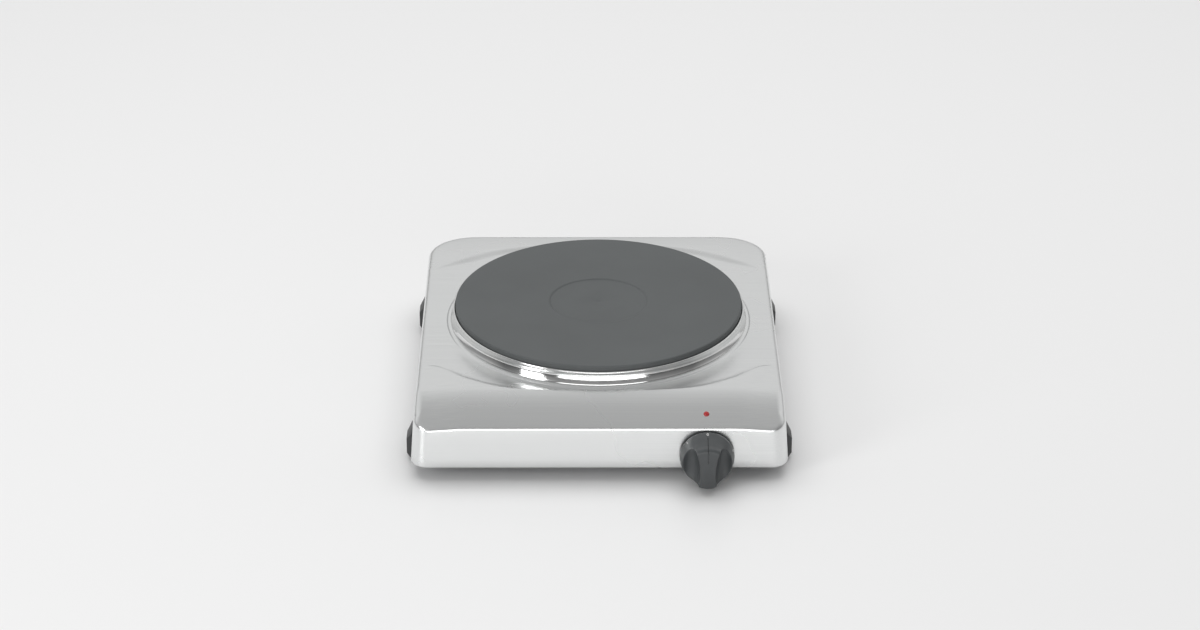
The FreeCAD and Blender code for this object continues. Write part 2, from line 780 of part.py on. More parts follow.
def make_gland():
    gland_inner = -gland_nut_t - wall - gland_stub
    profile = [
        (gland_bore_r, gland_inner), (gland_neck_r, gland_inner), (gland_neck_r, seat), (gland_r, seat),
        (gland_r, gland_l * 0.55), (gland_tip_r, gland_l - 1), (gland_tip_r - 1, gland_l),
        (gland_bore_r, gland_l),
    ]
    solid = turned(profile)
    solid.rotate(Vector(0, 0, 0), Vector(1, 0, 0), -90)
    solid.translate(Vector(gland_x, rear_y, gland_z))
    return solid


def make_gland_nut():
    y1 = rear_y - wall - seat
    ring = hexagon(gland_nut_r * math.sqrt(3), 0, 0, 0, gland_nut_t)
    ring = ring.cut(rod(gland_neck_r + seat, 0, 0, -1, gland_nut_t + 1))
    ring.rotate(Vector(0, 0, 0), Vector(1, 0, 0), 90)
    ring.translate(Vector(gland_x, y1, gland_z))
    return ring


def make_terminal_block():
    z0 = base_top_z + seat
    block = box(gland_x - block_w / 2, gland_x + block_w / 2, block_y - block_d, block_y, z0, z0 + block_h)
    for k in range(3):
        x = gland_x + (k - 1) * block_pole
        block = block.cut(rod_y(block_hole_r, x, z0 + 5, block_y - block_d - 1, block_y + 1))
        for y in (block_y - block_d + 4, block_y - 4):
            block = block.cut(rod(block_screw_r + seat, x, y, z0 + 5, z0 + block_h + 1))
    return block


def make_terminal_screws():
    z1 = base_top_z + seat + block_h - 1
    screws = []
    for k in range(3):
        for y in (block_y - block_d + 4, block_y - 4):
            screws.append(rod(block_screw_r, gland_x + (k - 1) * block_pole, y, z1 - block_screw_h, z1))
    return group(screws)


def make_earth_screw():
    head = rod(earth_r * 2, earth_x, earth_y, base_bottom_z - 1.6, base_bottom_z - seat)
    return head.fuse(rod(earth_r, earth_x, earth_y, base_bottom_z - seat, base_bottom_z + earth_l))


def make_earth_nut():
    z0 = base_top_z + seat
    nut = hexagon(earth_nut_af, earth_x, earth_y, z0, z0 + earth_nut_h)
    return nut.cut(rod(earth_r + seat, earth_x, earth_y, z0 - 1, z0 + earth_nut_h + 1))


save("housing", make_housing())
save("base_plate", make_base_plate())
for foot_name, foot_side, (foot_y0, foot_y1) in foot_spans():
    save(foot_name, make_foot(foot_side, foot_y0, foot_y1))
save("foot_pads", make_foot_pads())
save("foot_screws", make_foot_screws())
save("cast_iron_plate", make_cast_plate())
save("heating_coils", make_coils())
save("insulating_compound", make_compound())
save("plate_cover", make_plate_cover())
save("spill_ring", make_ring())
save("hold_down_bar", make_bar())
save("centre_stud", make_stud())
save("stud_spacer", make_spacer())
save("stud_washer", make_washer())
save("stud_nut", make_nut())
save("plate_terminal_ceramic", make_ceramic())
save("plate_terminal_pins", make_plate_pins())
save("thermal_cutout", make_cutout())
save("regulator_bracket", make_regulator_bracket())
save("regulator_case", make_regulator_case())
save("regulator_cover", make_regulator_cover())
save("regulator_tabs", make_regulator_tabs())
save("regulator_screws", make_regulator_screws())
save("contact_blade", make_contact_blade())
save("regulator_shaft", make_shaft())
save("regulator_cam", make_cam())
save("knob", make_knob())
save("knob_clip", make_knob_clip())
save("lamp_lens", make_lens())
save("pilot_lamp", make_lamp())
save("lamp_nut", make_lamp_nut())
save("cable_gland", make_gland())
save("gland_nut", make_gland_nut())
save("terminal_block", make_terminal_block())
save("terminal_screws", make_terminal_screws())
save("earth_screw", make_earth_screw())
save("earth_nut", make_earth_nut())
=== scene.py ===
import json
import math

import bmesh
import bpy
from mathutils import Matrix, Vector


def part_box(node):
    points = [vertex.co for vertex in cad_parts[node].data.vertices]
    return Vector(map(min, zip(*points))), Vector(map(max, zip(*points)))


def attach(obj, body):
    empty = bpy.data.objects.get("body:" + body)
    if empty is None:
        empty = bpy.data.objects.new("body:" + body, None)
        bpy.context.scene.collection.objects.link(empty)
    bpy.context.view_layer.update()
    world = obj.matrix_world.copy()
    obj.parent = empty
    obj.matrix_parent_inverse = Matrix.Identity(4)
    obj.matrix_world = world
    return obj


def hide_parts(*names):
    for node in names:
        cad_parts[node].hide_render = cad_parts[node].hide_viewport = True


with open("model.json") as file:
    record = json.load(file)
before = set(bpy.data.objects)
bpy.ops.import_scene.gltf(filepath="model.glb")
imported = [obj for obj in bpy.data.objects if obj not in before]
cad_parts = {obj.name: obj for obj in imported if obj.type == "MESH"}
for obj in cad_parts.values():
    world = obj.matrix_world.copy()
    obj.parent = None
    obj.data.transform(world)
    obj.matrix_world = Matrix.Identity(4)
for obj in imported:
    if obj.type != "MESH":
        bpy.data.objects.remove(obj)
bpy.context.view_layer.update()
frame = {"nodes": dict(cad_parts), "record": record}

nodes = frame["nodes"]

# Camera: it looks down at the front of the hot plate from standing height, through a long lens.
# The plate's own axis is the reference point for it.
plate_low, plate_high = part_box("cast_iron_plate")
axis_y = (plate_low.y + plate_high.y) / 2
plate_top = plate_high.z
plate_r = (plate_high.x - plate_low.x) / 2

camera_data = bpy.data.cameras.new("camera")
camera_data.sensor_width = 36.0
camera_data.lens = 90.73
camera_data.shift_y = 0.0025
camera_data.clip_end = 50.0
camera = bpy.data.objects.new("camera", camera_data)
bpy.context.scene.collection.objects.link(camera)
turn = Matrix.Rotation(-0.008, 4, "Z") @ Matrix.Rotation(math.pi / 2 - 0.467, 4, "X")
turn = turn @ Matrix.Rotation(0.003, 4, "Z")
camera.matrix_world = Matrix.Translation((-0.0155, axis_y - 2.0844, plate_top + 1.0355)) @ turn
bpy.context.scene.camera = camera
bpy.context.scene.view_settings.view_transform = "Standard"


# Housing: one deep-drawn sheet of stainless steel, brushed from side to side. A shallow pressed field
# lies round the plate, with a rolled collar at its mouth. The front apron curves down to the control face,
# and the bottom edge turns inwards to hold the base plate.
def material(name):
    made = bpy.data.materials.new(name)
    made.use_nodes = True
    return made, made.node_tree, made.node_tree.nodes["Principled BSDF"]


def link(tree, a, a_socket, b, b_socket):
    tree.links.new(a.outputs[a_socket], b.inputs[b_socket])


def noise(tree, scale, stretch, detail=4.0, roughness=0.6):
    """Noise on Object coordinates, stretched along the axes by the given scales."""
    place = tree.nodes.new("ShaderNodeTexCoord")
    mapping = tree.nodes.new("ShaderNodeMapping")
    mapping.inputs["Scale"].default_value = stretch
    pattern = tree.nodes.new("ShaderNodeTexNoise")
    pattern.inputs["Scale"].default_value = scale
    pattern.inputs["Detail"].default_value = detail
    pattern.inputs["Roughness"].default_value = roughness
    link(tree, place, "Object", mapping, "Vector")
    link(tree, mapping, "Vector", pattern, "Vector")
    return pattern


def spread(tree, source, low, high):
    """Maps a noise pattern's middle range to the range low..high."""
    scale = tree.nodes.new("ShaderNodeMapRange")
    scale.inputs["From Min"].default_value = 0.3
    scale.inputs["From Max"].default_value = 0.7
    scale.inputs["To Min"].default_value = low
    scale.inputs["To Max"].default_value = high
    link(tree, source, "Fac", scale, "Value")
    return scale


def tint(tree, source, dark, light):
    """Mixes two colours by a noise pattern."""
    mix = tree.nodes.new("ShaderNodeMix")
    mix.data_type = "RGBA"
    mix.inputs["A"].default_value = (*dark, 1)
    mix.inputs["B"].default_value = (*light, 1)
    tree.links.new(source.outputs[0], mix.inputs["Factor"])
    return mix.outputs["Result"]


def bump(tree, shader, source, strength, distance):
    relief = tree.nodes.new("ShaderNodeBump")
    relief.inputs["Strength"].default_value = strength
    relief.inputs["Distance"].default_value = distance
    link(tree, source, "Fac", relief, "Height")
    link(tree, relief, "Normal", shader, "Normal")
    return relief


def brushed_steel(name, dark, light, rough, grain):
    made, tree, shader = material(name)
    lines = noise(tree, 1.0, grain, 6.0, 0.7)
    cloud = noise(tree, 9.0, (1, 1, 1), 3.0)
    tree.links.new(tint(tree, spread(tree, lines, 0.0, 1.0), dark, light), shader.inputs["Base Color"])
    tree.links.new(spread(tree, cloud, rough - 0.03, rough + 0.03).outputs[0], shader.inputs["Roughness"])
    shader.inputs["Metallic"].default_value = 1.0
    bump(tree, shader, lines, 0.08, 0.0002)
    return made


housing_low, housing_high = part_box("housing")
front_y = housing_low.y
rear_y = housing_high.y
bottom_z = housing_low.z
half_w = housing_high.x
top_z = housing_high.z
mm = 0.001
field_depth = 2.0 * mm
floor_z = top_z - field_depth
half_w_top = half_w - 3.5 * mm
sheet_t = 0.9 * mm
mouth_r = 108.7 * mm
collar_r = 116.7 * mm
collar_z = floor_z + 1.5 * mm
apron_start = 117.0 * mm
apron_run = 37.0 * mm
apron_fall = 14.6 * mm
apron_power = 1.8
rear_start = 96.0 * mm
rear_run = 54.0 * mm
rear_fall = 2.2 * mm
corner_front = 13.5 * mm
corner_rear = 32.0 * mm
side_edge_r = 5.5 * mm
front_edge_r = 2.5 * mm
front_fan = 0.62
# In millimetres: where the step from the field up to the rim starts to fade out, over what width it fades, and
# how wide the step is at the front crest.
step_fade_from = 96.0
step_fade_over = 40.0
crest_w = 2.4
# Crest of the front apron and the two edges of the rear step: x and y from the plate's axis, right half.
apron_crest = [(0, -121), (30, -120), (60, -118), (74, -114.5), (85, -109.5), (100, -100.5), (108, -93),
               (116, -85.5), (123, -81), (131, -81.5), (140, -88)]
rear_upper = [(0, 134), (40, 131), (63, 126), (87, 117), (102, 107.5), (118, 97.5), (132, 86), (140, 79)]
rear_lower = [(0, 127), (40, 123.5), (63, 117.5), (78, 112), (102, 98), (118, 91), (132, 84), (140, 78)]


def through(points, x):
    """Smooth curve through a few points, read at x (both in millimetres)."""
    last = len(points) - 1
    k = 0
    while k < last - 1 and x > points[k + 1][0]:
        k += 1
    (x0, y0), (x1, y1) = points[k], points[k + 1]

    def slope(i):
        if i == 0:
            return 0.0
        if i == last:
            return (points[i][1] - points[i - 1][1]) / (points[i][0] - points[i - 1][0])
        return (points[i + 1][1] - points[i - 1][1]) / (points[i + 1][0] - points[i - 1][0])

    w = x1 - x0
    t = min(max((x - x0) / w, 0.0), 1.0)
    a = (1 + 2 * t) * (1 - t) ** 2
    b = t * (1 - t) ** 2
    c = t * t * (3 - 2 * t)
    d = t * t * (t - 1)
    return a * y0 + b * w * slope(k) + c * y1 + d * w * slope(k + 1)


def ease(t):
    t = min(max(t, 0.0), 1.0)
    return t * t * (3 - 2 * t)


def half_width(z):
    return half_w + (half_w_top - half_w) * (z - bottom_z) / (top_z - bottom_z)


def top_height(x, y):
    """Height of the pressed top at a point, x and y from the plate's axis in metres."""
    ax = abs(x) / mm
    ym = y / mm
    z = floor_z
    step = field_depth * (1 - ease((ax - step_fade_from) / step_fade_over))
    if ym < 0:
        crest = through(apron_crest, ax)
        z += step * ease((crest + crest_w - ym) / crest_w)
    else:
        upper = through(rear_upper, ax)
        lower = through(rear_lower, ax)
        z += step * ease((ym - lower) / max(upper - lower, 0.5))
        z -= rear_fall * max((y - rear_start) / rear_run, 0) ** 2
    drop = max(0.0, -y - apron_start)
    z -= apron_fall * (drop / apron_run) ** apron_power
    return z


def housing_outline():
    """Stations round the bottom edge: place and outward direction, from the plate's axis."""
    y0 = front_y - axis_y
    y1 = rear_y - axis_y
    stations = []

    def straight(ax, ay, bx, by, nx, ny, count):
        for k in range(count):
            t = k / count
            stations.append((ax + (bx - ax) * t, ay + (by - ay) * t, nx, ny))

    def corner(cx, cy, r, start, count):
        for k in range(count):
            a = math.radians(start + 90 * k / count)
            stations.append((cx + r * math.cos(a), cy + r * math.sin(a), math.cos(a), math.sin(a)))

    f, r = corner_front, corner_rear
    straight(0, y0, half_w - f, y0, 0, -1, 60)
    corner(half_w - f, y0 + f, f, -90, 22)
    straight(half_w, y0 + f, half_w, y1 - r, 1, 0, 110)
    corner(half_w - r, y1 - r, r, 0, 26)
    straight(half_w - r, y1, -half_w + r, y1, 0, 1, 96)
    corner(-half_w + r, y1 - r, r, 90, 26)
    straight(-half_w, y1 - r, -half_w, y0 + f, -1, 0, 110)
    corner(-half_w + f, y0 + f, f, 180, 22)
    straight(-half_w + f, y0, 0, y0, 0, -1, 60)
    return stations


def ray_crossing(c, s, test):
    """Share of the way from c to s where test(x, y) turns positive."""
    low, high = 0.0, 1.0
    if test(*s) <= 0:
        return None
    for _ in range(24):
        middle = (low + high) / 2
        if test(c[0] + (s[0] - c[0]) * middle, c[1] + (s[1] - c[1]) * middle) > 0:
            high = middle
        else:
            low = middle
    return high


def column(station):
    """One section through the sheet, from the mouth's inner edge to the turned-in bottom edge."""
    bx, by, nx, ny = station
    front_share = max(0.0, -ny)
    edge = side_edge_r - (side_edge_r - front_edge_r) * front_share
    squeeze = front_fan if by < 0 else 1.0
    spin = math.atan2(by * squeeze, bx)
    ux, uy = math.cos(spin), math.sin(spin)
    path = []
    for r, z in ((mouth_r, floor_z - 1.0 * mm), (mouth_r, collar_z - 0.5 * mm),
                 (mouth_r + 0.2 * mm, collar_z - 0.1 * mm), (mouth_r + 0.6 * mm, collar_z),
                 (collar_r - 1.6 * mm, collar_z), (collar_r - 0.9 * mm, collar_z - 0.15 * mm),
                 (collar_r - 0.35 * mm, collar_z - 0.55 * mm), (collar_r, floor_z + 0.35 * mm),
                 (collar_r + 0.25 * mm, floor_z + 0.1 * mm), (collar_r + 0.7 * mm, floor_z)):
        path.append((ux * r, uy * r, z))
    c = (ux * (collar_r + 0.7 * mm), uy * (collar_r + 0.7 * mm))
    sx = bx - nx * edge
    sy = by - ny * edge
    k_top = half_width(top_height(sx, sy)) / half_w
    s = (sx * k_top, sy)

    if by < 0:
        inner = ray_crossing(c, s, lambda x, y: through(apron_crest, abs(x) / mm) + crest_w - y / mm)
        outer = ray_crossing(c, s, lambda x, y: through(apron_crest, abs(x) / mm) - y / mm)
    else:
        inner = ray_crossing(c, s, lambda x, y: y / mm - through(rear_lower, abs(x) / mm))
        outer = ray_crossing(c, s, lambda x, y: y / mm - through(rear_upper, abs(x) / mm))
    if inner is None or outer is None:
        inner, outer = 0.45, 0.55
    if inner >= outer - 0.004:
        outer = min(inner + 0.02, 0.98)
    shares = [inner * k / 6 for k in range(1, 6)]
    shares += [inner + (outer - inner) * k / 6 for k in range(0, 7)]
    shares += [outer + (1 - outer) * k / 18 for k in range(1, 19)]
    for t in shares:
        x = c[0] + (s[0] - c[0]) * t
        y = c[1] + (s[1] - c[1]) * t
        path.append((x, y, top_height(x, y)))
    # rounded edge between the top and the drafted wall, as a curve with one control point
    x0, y0, z0 = path[-1]
    x1, y1, z1 = path[-2]
    run = math.hypot(x0 - x1, y0 - y1)
    fall = (z1 - z0) / run
    zc = z0 - fall * edge
    kc = half_width(zc) / half_w
    zw = zc - edge * 0.95
    kw = half_width(zw) / half_w
    corner_point = (bx * kc, by, zc)
    wall_point = (bx * kw, by, zw)
    for k in range(1, 9):
        t = k / 8
        path.append(tuple((1 - t) ** 2 * a + 2 * t * (1 - t) * b + t * t * d
                          for a, b, d in zip((x0, y0, z0), corner_point, wall_point)))
    for k in range(1, 6):
        z = zw + (bottom_z + 1.4 * mm - zw) * k / 5
        path.append((bx * half_width(z) / half_w, by, z))
    for inset, z in ((0.2, 0.6), (0.6, 0.15), (1.4, 0.0), (8.0, 0.0), (15.0, 0.0)):
        path.append((bx - nx * inset * mm, by - ny * inset * mm, bottom_z + z * mm))
    return [(x, y + axis_y, z) for x, y, z in path]


def finish_mesh(bm, name, smooth_angle=None, flip=False):
    bmesh.ops.remove_doubles(bm, verts=bm.verts, dist=1e-6)
    bmesh.ops.recalc_face_normals(bm, faces=bm.faces)
    if flip:
        bmesh.ops.reverse_faces(bm, faces=bm.faces)
    mesh = bpy.data.meshes.new(name)
    bm.to_mesh(mesh)
    bm.free()
    for polygon in mesh.polygons:
        polygon.use_smooth = True
    if smooth_angle is not None:
        mesh.set_sharp_from_angle(angle=math.radians(smooth_angle))
    piece = bpy.data.objects.new(name, mesh)
    bpy.context.scene.collection.objects.link(piece)
    return piece


housing_columns = [column(station) for station in housing_outline()]
housing_columns.append(housing_columns[0])
bm = bmesh.new()
rows = len(housing_columns[0])
bmesh.ops.create_grid(bm, x_segments=len(housing_columns) - 1, y_segments=rows - 1, size=1.0)
bm.verts.ensure_lookup_table()
for vert in bm.verts:
    u = round((vert.co.x + 1) / 2 * (len(housing_columns) - 1))
    v = round((vert.co.y + 1) / 2 * (rows - 1))
    vert.co = housing_columns[u][v]
housing_shell = finish_mesh(bm, "housing_shell")
top_face = max(housing_shell.data.polygons, key=lambda p: p.area)
if top_face.normal.z < -0.5 or (abs(top_face.normal.z) < 0.5 and top_face.normal.dot(top_face.center) < 0):
    housing_shell.data.flip_normals()
thickness = housing_shell.modifiers.new("sheet", "SOLIDIFY")
thickness.thickness = sheet_t
thickness.offset = -1.0
housing_steel = brushed_steel("housing_steel", (0.78, 0.79, 0.79), (0.85, 0.86, 0.855), 0.27, (5, 1600, 1600))
housing_shell.data.materials.append(housing_steel)
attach(housing_shell, "base")
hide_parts("housing")


# Cooking plate: cast iron, turned on its face, with a shallow unheated middle and a matt black heat coating.
# It stands proud of the housing on its spill ring.
def lathe(name, profile, centre, axis="Z", steps=180, smooth_angle=40, closed=False):
    """Turned piece: a profile of (radius, height) about an upright axis or a Y axis through centre."""
    bm = bmesh.new()
    ring = [bm.verts.new((r, 0, z)) for r, z in profile]
    edges = [bm.edges.new(pair) for pair in zip(ring, ring[1:])]
    if closed:
        edges.append(bm.edges.new((ring[-1], ring[0])))
    bmesh.ops.spin(bm, geom=ring + edges, cent=(0, 0, 0), axis=(0, 0, 1), angle=2 * math.pi, steps=steps,
                   use_merge=True)
    if axis == "Y":
        bmesh.ops.rotate(bm, verts=bm.verts, cent=(0, 0, 0), matrix=Matrix.Rotation(-math.pi / 2, 3, "X"))
    if axis == "-Y":
        bmesh.ops.rotate(bm, verts=bm.verts, cent=(0, 0, 0), matrix=Matrix.Rotation(math.pi / 2, 3, "X"))
    bmesh.ops.translate(bm, verts=bm.verts, vec=centre)
    return finish_mesh(bm, name, smooth_angle)


def arc(cx, cz, r, start, end, count):
    points = []
    for k in range(count + 1):
        a = math.radians(start + (end - start) * k / count)
        points.append((cx + r * math.cos(a), cz + r * math.sin(a)))
    return points


plate_bottom = plate_low.z
dish_r = 38.2 * mm
dish_d = 0.8 * mm
edge_r = 1.1 * mm
skirt_r = 107.3 * mm
dish_z = plate_top - dish_d
plate_profile = [(0, dish_z - 0.5 * mm), (1.6 * mm, dish_z - 0.35 * mm), (2.4 * mm, dish_z),
                 (20 * mm, dish_z), (dish_r - 1.4 * mm, dish_z)]
plate_profile += arc(dish_r - 1.4 * mm, dish_z + 0.5 * mm, 0.5 * mm, -90, -35, 4)
plate_profile += [(dish_r - 0.2 * mm, plate_top - 0.12 * mm), (dish_r + 0.1 * mm, plate_top),
                  (dish_r + 0.5 * mm, plate_top)]
plate_profile += [(60 * mm, plate_top), (85 * mm, plate_top), (plate_r - edge_r - 0.3 * mm, plate_top)]
plate_profile += arc(plate_r - edge_r, plate_top - edge_r, edge_r, 90, 0, 6)
plate_profile += [(plate_r, plate_top - 4.6 * mm), (skirt_r, plate_top - 6.1 * mm), (skirt_r, plate_bottom),
                  (100 * mm, plate_bottom), (60 * mm, plate_bottom), (0, plate_bottom)]
cast_plate = lathe("cast_plate", plate_profile, (0, axis_y, 0), steps=288, smooth_angle=35)
plate_black, tree, shader = material("plate_coating")
grit = noise(tree, 1400.0, (1, 1, 1), 4.0)
patina = noise(tree, 14.0, (1, 1, 1), 4.0)
tree.links.new(tint(tree, spread(tree, patina, 0.0, 1.0), (0.078, 0.084, 0.085), (0.094, 0.101, 0.102)),
               shader.inputs["Base Color"])
tree.links.new(spread(tree, patina, 0.52, 0.60).outputs[0], shader.inputs["Roughness"])
shader.inputs["Specular IOR Level"].default_value = 0.5
turning = tree.nodes.new("ShaderNodeTexWave")
turning.wave_type = "RINGS"
turning.rings_direction = "Z"
turning.inputs["Scale"].default_value = 420.0
turning.inputs["Distortion"].default_value = 0.6
place = tree.nodes.new("ShaderNodeTexCoord")
centred = tree.nodes.new("ShaderNodeMapping")
centred.inputs["Location"].default_value = (0, -axis_y, 0)
link(tree, place, "Object", centred, "Vector")
link(tree, centred, "Vector", turning, "Vector")
fine = bump(tree, shader, grit, 0.25, 0.0002)
rings = tree.nodes.new("ShaderNodeBump")
rings.inputs["Strength"].default_value = 0.08
rings.inputs["Distance"].default_value = 0.0002
link(tree, turning, "Fac", rings, "Height")
link(tree, rings, "Normal", fine, "Normal")
cast_plate.data.materials.append(plate_black)
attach(cast_plate, "base")
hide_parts("cast_iron_plate")


# Spill ring: thin polished stainless steel, rolled over at the top against the plate and flared at its foot,
# where it rests on the housing's collar.
ring_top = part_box("spill_ring")[1].z
ring_foot = collar_z + 0.05 * mm
bead_r = 111.9 * mm
foot_r = 113.9 * mm
ring_profile = [(110.35 * mm, ring_top - 1.6 * mm)]
ring_profile += arc(111.1 * mm, ring_top - 0.8 * mm, 0.8 * mm, 180, 0, 10)
ring_profile += [(bead_r - 0.25 * mm, ring_top - 1.9 * mm), (bead_r - 0.45 * mm, ring_top - 3.2 * mm),
                 (bead_r - 0.2 * mm, ring_top - 4.8 * mm), (bead_r + 0.35 * mm, ring_top - 6.4 * mm),
                 (foot_r - 0.9 * mm, ring_top - 7.9 * mm), (foot_r - 0.3 * mm, ring_foot + 0.8 * mm),
                 (foot_r, ring_foot + 0.4 * mm), (foot_r, ring_foot), (foot_r - 2.0 * mm, ring_foot),
                 (bead_r - 0.6 * mm, ring_top - 6.2 * mm), (bead_r - 1.2 * mm, ring_top - 3.2 * mm)]
ring_profile += [(110.4 * mm, ring_top - 2.4 * mm)]
spill_ring = lathe("spill_ring_rolled", ring_profile, (0, axis_y, 0), steps=288, smooth_angle=50, closed=True)
polished, tree, shader = material("polished_ring")
haze = noise(tree, 60.0, (1, 1, 1), 3.0)
tree.links.new(tint(tree, spread(tree, haze, 0.0, 1.0), (0.78, 0.79, 0.79), (0.86, 0.86, 0.85)),
               shader.inputs["Base Color"])
tree.links.new(spread(tree, haze, 0.07, 0.12).outputs[0], shader.inputs["Roughness"])
shader.inputs["Metallic"].default_value = 1.0
spill_ring.data.materials.append(polished)
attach(spill_ring, "base")
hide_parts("spill_ring")


# Feet: black moulded corners that clip round the side walls, each with a soft pad let into its underside.
def black_moulding(name, colour, rough, grain):
    made, tree, shader = material(name)
    speck = noise(tree, grain, (1, 1, 1), 3.0)
    cloud = noise(tree, 40.0, (1, 1, 1), 3.0)
    lighter = tuple(c * 1.35 for c in colour)
    tree.links.new(tint(tree, spread(tree, cloud, 0.0, 1.0), colour, lighter), shader.inputs["Base Color"])
    tree.links.new(spread(tree, cloud, rough - 0.04, rough + 0.05).outputs[0], shader.inputs["Roughness"])
    bump(tree, shader, speck, 0.2, 0.0001)
    return made


def rounded_copy(node, name, radius, segments=3, angle=30):
    """A copy of a CAD piece with its facets merged and its edges rounded."""
    bm = bmesh.new()
    bm.from_mesh(nodes[node].data)
    bmesh.ops.remove_doubles(bm, verts=bm.verts, dist=1e-6)
    bmesh.ops.dissolve_limit(bm, angle_limit=math.radians(1.0), verts=bm.verts, edges=bm.edges)
    sharp = [e for e in bm.edges if len(e.link_faces) == 2 and e.calc_face_angle(0) > math.radians(angle)]
    bmesh.ops.bevel(bm, geom=sharp, offset=radius, offset_type="OFFSET", affect="EDGES", segments=segments,
                    profile=0.5, material=-1, clamp_overlap=True)
    return finish_mesh(bm, name, 40)


foot_plastic = black_moulding("foot_plastic", (0.020, 0.021, 0.022), 0.42, 2200.0)
for foot in ("foot_front_left", "foot_front_right", "foot_rear_left", "foot_rear_right"):
    piece = rounded_copy(foot, foot + "_moulding", 0.9 * mm)
    piece.data.materials.append(foot_plastic)
    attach(piece, "base")
    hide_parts(foot)


# Knob: dark grey moulded grip with a finger scoop each side, so that a waisted bar is left to hold.
# A pointer groove runs down the bar, and its rim has small white dial numbers.
knob_low, knob_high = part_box("knob")
knob_x = (knob_low.x + knob_high.x) / 2
knob_z = (knob_low.z + knob_high.z) / 2
knob_back = knob_high.y
knob_r = (knob_high.x - knob_low.x) / 2
knob_l = knob_high.y - knob_low.y
nose_r = 15.0 * mm
knob_profile = [(0, 0), (knob_r - 1.0 * mm, 0)]
knob_profile += arc(knob_r - 1.0 * mm, 1.0 * mm, 1.0 * mm, -90, 0, 5)
knob_profile += [(knob_r, 2.0 * mm), (knob_r - 0.15 * mm, 3.4 * mm), (knob_r - 0.9 * mm, 6.4 * mm),
                 (knob_r - 2.2 * mm, 11.0 * mm), (nose_r + 1.9 * mm, 15.6 * mm)]
knob_profile += arc(nose_r - 1.2 * mm, knob_l - 3.4 * mm, 2.9 * mm, 15, 90, 7)
knob_profile += [(9.0 * mm, knob_l - 0.25 * mm), (0, knob_l)]
knob = lathe("knob_grip", knob_profile, (0, 0, 0), steps=192, smooth_angle=60)


scoop_size = (9.4 * mm, 25.0 * mm, 17.0 * mm)
scoop_lean = math.radians(12)
scoop_out = 15.4 * mm
scoop_down = 4.5 * mm
scoop_forward = 24.6 * mm
groove_w = 0.8 * mm


def scoop_tool(side):
    """Leaning egg shape that cuts one finger scoop."""
    bm = bmesh.new()
    bmesh.ops.create_uvsphere(bm, u_segments=96, v_segments=64, radius=1.0)
    bmesh.ops.scale(bm, verts=bm.verts, vec=scoop_size)
    bmesh.ops.rotate(bm, verts=bm.verts, cent=(0, 0, 0), matrix=Matrix.Rotation(side * scoop_lean, 3, "Y"))
    bmesh.ops.translate(bm, verts=bm.verts, vec=(side * scoop_out, -scoop_down, scoop_forward))
    return finish_mesh(bm, "scoop_tool")


def cut(piece, tool):
    bite = piece.modifiers.new("cut", "BOOLEAN")
    bite.operation = "DIFFERENCE"
    bite.solver = "EXACT"
    bite.object = tool
    bpy.context.view_layer.update()
    cut_mesh = bpy.data.meshes.new_from_object(piece.evaluated_get(bpy.context.evaluated_depsgraph_get()))
    piece.modifiers.clear()
    piece.data = cut_mesh
    bpy.data.objects.remove(tool)


for side in (-1, 1):
    cut(knob, scoop_tool(side))
skin = knob.modifiers.new("even", "REMESH")
skin.mode = "VOXEL"
skin.voxel_size = 0.38 * mm
relax = knob.modifiers.new("soften", "SMOOTH")
relax.factor = 0.5
relax.iterations = 5
knob_mesh = bpy.data.meshes.new_from_object(knob.evaluated_get(bpy.context.evaluated_depsgraph_get()))
knob.modifiers.clear()
knob.data = knob_mesh
groove = [(6.0 * mm, knob_l - 0.7 * mm), (nose_r - 1.0 * mm, knob_l - 0.9 * mm),
          (nose_r + 0.5 * mm, knob_l - 3.6 * mm), (nose_r + 1.1 * mm, 15.6 * mm),
          (knob_r - 3.0 * mm, 11.0 * mm), (knob_r - 1.9 * mm, 7.6 * mm),
          (knob_r + 2.0 * mm, 7.6 * mm), (knob_r + 2.0 * mm, knob_l + 2.0 * mm),
          (6.0 * mm, knob_l + 2.0 * mm)]
bm = bmesh.new()
side_face = bm.faces.new([bm.verts.new((-groove_w / 2, y, z)) for y, z in groove])
across = bmesh.ops.extrude_face_region(bm, geom=[side_face])["geom"]
bmesh.ops.translate(bm, verts=[v for v in across if isinstance(v, bmesh.types.BMVert)], vec=(groove_w, 0, 0))
cut(knob, finish_mesh(bm, "pointer_tool"))
knob.data.transform(Matrix.Translation((knob_x, knob_back, knob_z)) @ Matrix.Rotation(math.pi / 2, 4, "X"))
knob.data.update()
for polygon in knob.data.polygons:
    polygon.use_smooth = True
knob.data.set_sharp_from_angle(angle=math.radians(50))
knob_plastic = black_moulding("knob_plastic", (0.050, 0.054, 0.056), 0.36, 2600.0)
knob.data.materials.clear()
knob.data.materials.append(knob_plastic)
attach(knob, "control_knob")
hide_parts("knob")


